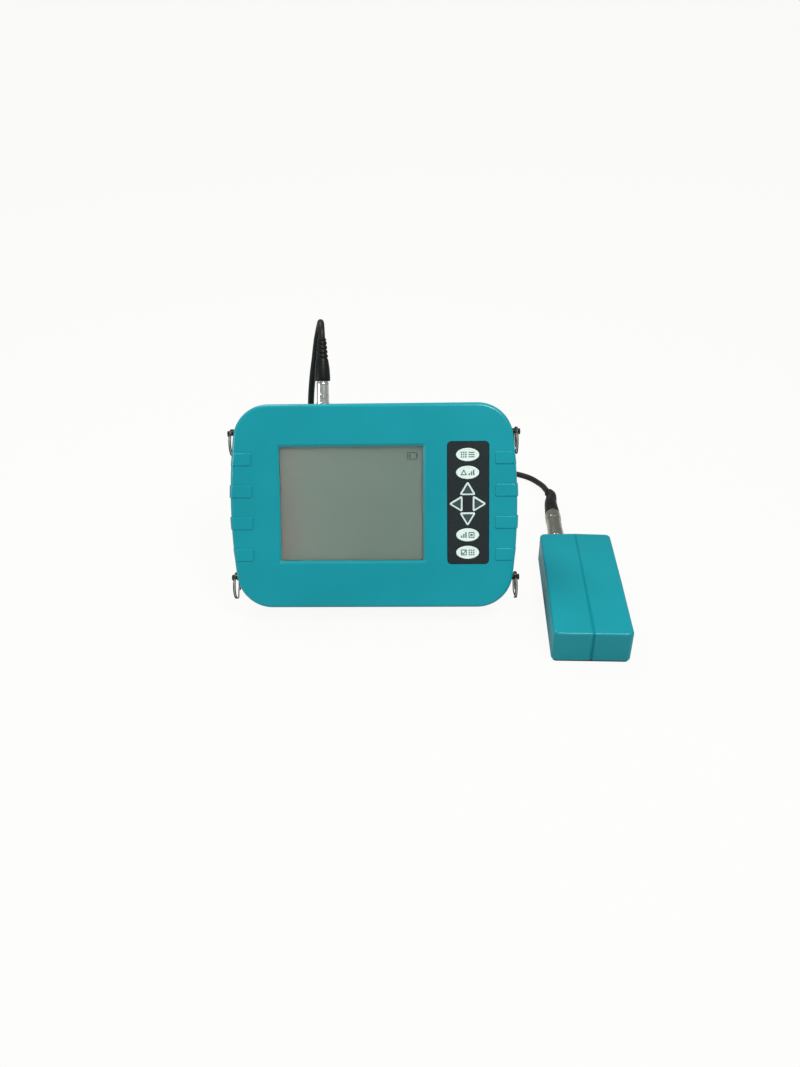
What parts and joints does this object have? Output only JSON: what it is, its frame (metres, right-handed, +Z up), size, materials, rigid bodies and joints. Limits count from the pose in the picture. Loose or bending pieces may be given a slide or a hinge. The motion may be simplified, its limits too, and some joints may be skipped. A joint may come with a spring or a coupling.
{
  "type": "concrete cover meter",
  "caption": "Hand-held cover meter for reinforcement in concrete: a screen unit with a keypad leans on its rear stand, with a block-shaped search probe on a plug-in cable.",
  "frame": {"origin": "on the ground, in the middle of the unit and probe together as they lie, the cable left out", "axes": "+X to the right along the unit's width, +Y away from the viewer, +Z up"},
  "size_m": [0.3346, 0.2903, 0.2191],
  "materials": {
    "teal_plastic": "fine satin",
    "black_rubber": "matt",
    "sole_plastic": "matt",
    "black_plastic": "satin",
    "ring_steel": "satin",
    "keypad_film": "satin",
    "pale_key": "satin",
    "arrow_key": "satin",
    "bright_steel": "bright",
    "clear_lens": "clear gloss",
    "display_grey_green": "satin",
    "circuit_board": "satin",
    "battery_wrap": "gloss",
    "copper_winding": "satin",
    "former_plastic": "satin",
    "cable_jacket": "satin"
  },
  "bodies": {
    "case": {"back_foot_left": "black_rubber", "back_foot_right": "black_rubber", "battery_cover": "teal_plastic", "battery_pack": "battery_wrap", "cable_coil": "cable_jacket", "cable_drop": "cable_jacket", "cable_lead": "cable_jacket", "case_screw_1": "bright_steel", "case_screw_2": "bright_steel", "case_screw_3": "bright_steel", "case_screw_4": "bright_steel", "case_seal": "black_rubber", "coil_former": "former_plastic", "coil_tie": "black_rubber", "cover_screw_1": "bright_steel", "cover_screw_2": "bright_steel", "display_board": "circuit_board", "display_frame": "bright_steel", "display_glass": "display_grey_green", "front_shell": "teal_plastic", "key_board": "circuit_board", "keypad_panel": "keypad_film", "main_board": "circuit_board", "meter_boot": "black_rubber", "meter_plug": "bright_steel", "meter_socket": "bright_steel", "probe_board": "circuit_board", "probe_boot": "black_rubber", "probe_housing": "teal_plastic", "probe_plug": "bright_steel", "probe_screw_1": "bright_steel", "probe_screw_2": "bright_steel", "probe_screw_3": "bright_steel", "probe_screw_4": "bright_steel", "probe_socket": "bright_steel", "probe_sole": "sole_plastic", "rear_shell": "teal_plastic", "search_coil": "copper_winding", "socket_nut": "bright_steel", "stand_pin": "bright_steel", "strap_stud_lower_left": "black_plastic", "strap_stud_lower_right": "black_plastic", "strap_stud_upper_left": "black_plastic", "strap_stud_upper_right": "black_plastic", "window_lens": "clear_lens"},
    "stand": {"stand": "teal_plastic", "stand_foot": "black_rubber"},
    "oval_key_1": {"oval_key_1": "pale_key"},
    "oval_key_2": {"oval_key_2": "pale_key"},
    "up_key": {"up_key": "arrow_key"},
    "left_key": {"left_key": "arrow_key"},
    "right_key": {"right_key": "arrow_key"},
    "down_key": {"down_key": "arrow_key"},
    "oval_key_3": {"oval_key_3": "pale_key"},
    "oval_key_4": {"oval_key_4": "pale_key"},
    "ring_upper_left": {"split_ring_upper_left": "ring_steel"},
    "ring_upper_right": {"split_ring_upper_right": "ring_steel"},
    "ring_lower_left": {"split_ring_lower_left": "ring_steel"},
    "ring_lower_right": {"split_ring_lower_right": "ring_steel"}
  },
  "joints": [
    {"name": "stand_hinge", "type": "hinge", "parent": "case", "child": "stand", "pos_m": [-0.0427, 0.04964, 0.09258], "axis": [1, 0, 0], "range_deg": [-45.55, 0]},
    {"name": "oval_key_1_press", "type": "slide", "parent": "case", "child": "oval_key_1", "axis": [0, 0.8746, -0.4848], "range_m": [0, 0.0008], "stiffness_N_per_m": 400, "springref_m": -0.0006},
    {"name": "oval_key_2_press", "type": "slide", "parent": "case", "child": "oval_key_2", "axis": [0, 0.8746, -0.4848], "range_m": [0, 0.0008], "stiffness_N_per_m": 400, "springref_m": -0.0006},
    {"name": "up_key_press", "type": "slide", "parent": "case", "child": "up_key", "axis": [0, 0.8746, -0.4848], "range_m": [0, 0.0008], "stiffness_N_per_m": 400, "springref_m": -0.0006},
    {"name": "left_key_press", "type": "slide", "parent": "case", "child": "left_key", "axis": [0, 0.8746, -0.4848], "range_m": [0, 0.0008], "stiffness_N_per_m": 400, "springref_m": -0.0006},
    {"name": "right_key_press", "type": "slide", "parent": "case", "child": "right_key", "axis": [0, 0.8746, -0.4848], "range_m": [0, 0.0008], "stiffness_N_per_m": 400, "springref_m": -0.0006},
    {"name": "down_key_press", "type": "slide", "parent": "case", "child": "down_key", "axis": [0, 0.8746, -0.4848], "range_m": [0, 0.0008], "stiffness_N_per_m": 400, "springref_m": -0.0006},
    {"name": "oval_key_3_press", "type": "slide", "parent": "case", "child": "oval_key_3", "axis": [0, 0.8746, -0.4848], "range_m": [0, 0.0008], "stiffness_N_per_m": 400, "springref_m": -0.0006},
    {"name": "oval_key_4_press", "type": "slide", "parent": "case", "child": "oval_key_4", "axis": [0, 0.8746, -0.4848], "range_m": [0, 0.0008], "stiffness_N_per_m": 400, "springref_m": -0.0006},
    {"name": "ring_upper_left_swing", "type": "hinge", "parent": "case", "child": "ring_upper_left", "pos_m": [-0.16248, 0.04382, 0.14314], "axis": [1, 0, 0], "continuous": true},
    {"name": "ring_upper_right_swing", "type": "hinge", "parent": "case", "child": "ring_upper_right", "pos_m": [0.07708, 0.04382, 0.14314], "axis": [1, 0, 0], "continuous": true},
    {"name": "ring_lower_left_swing", "type": "hinge", "parent": "case", "child": "ring_lower_left", "pos_m": [-0.16248, -0.01571, 0.03573], "axis": [1, 0, 0], "continuous": true},
    {"name": "ring_lower_right_swing", "type": "hinge", "parent": "case", "child": "ring_lower_right", "pos_m": [0.07708, -0.01571, 0.03573], "axis": [1, 0, 0], "continuous": true}
  ]
}
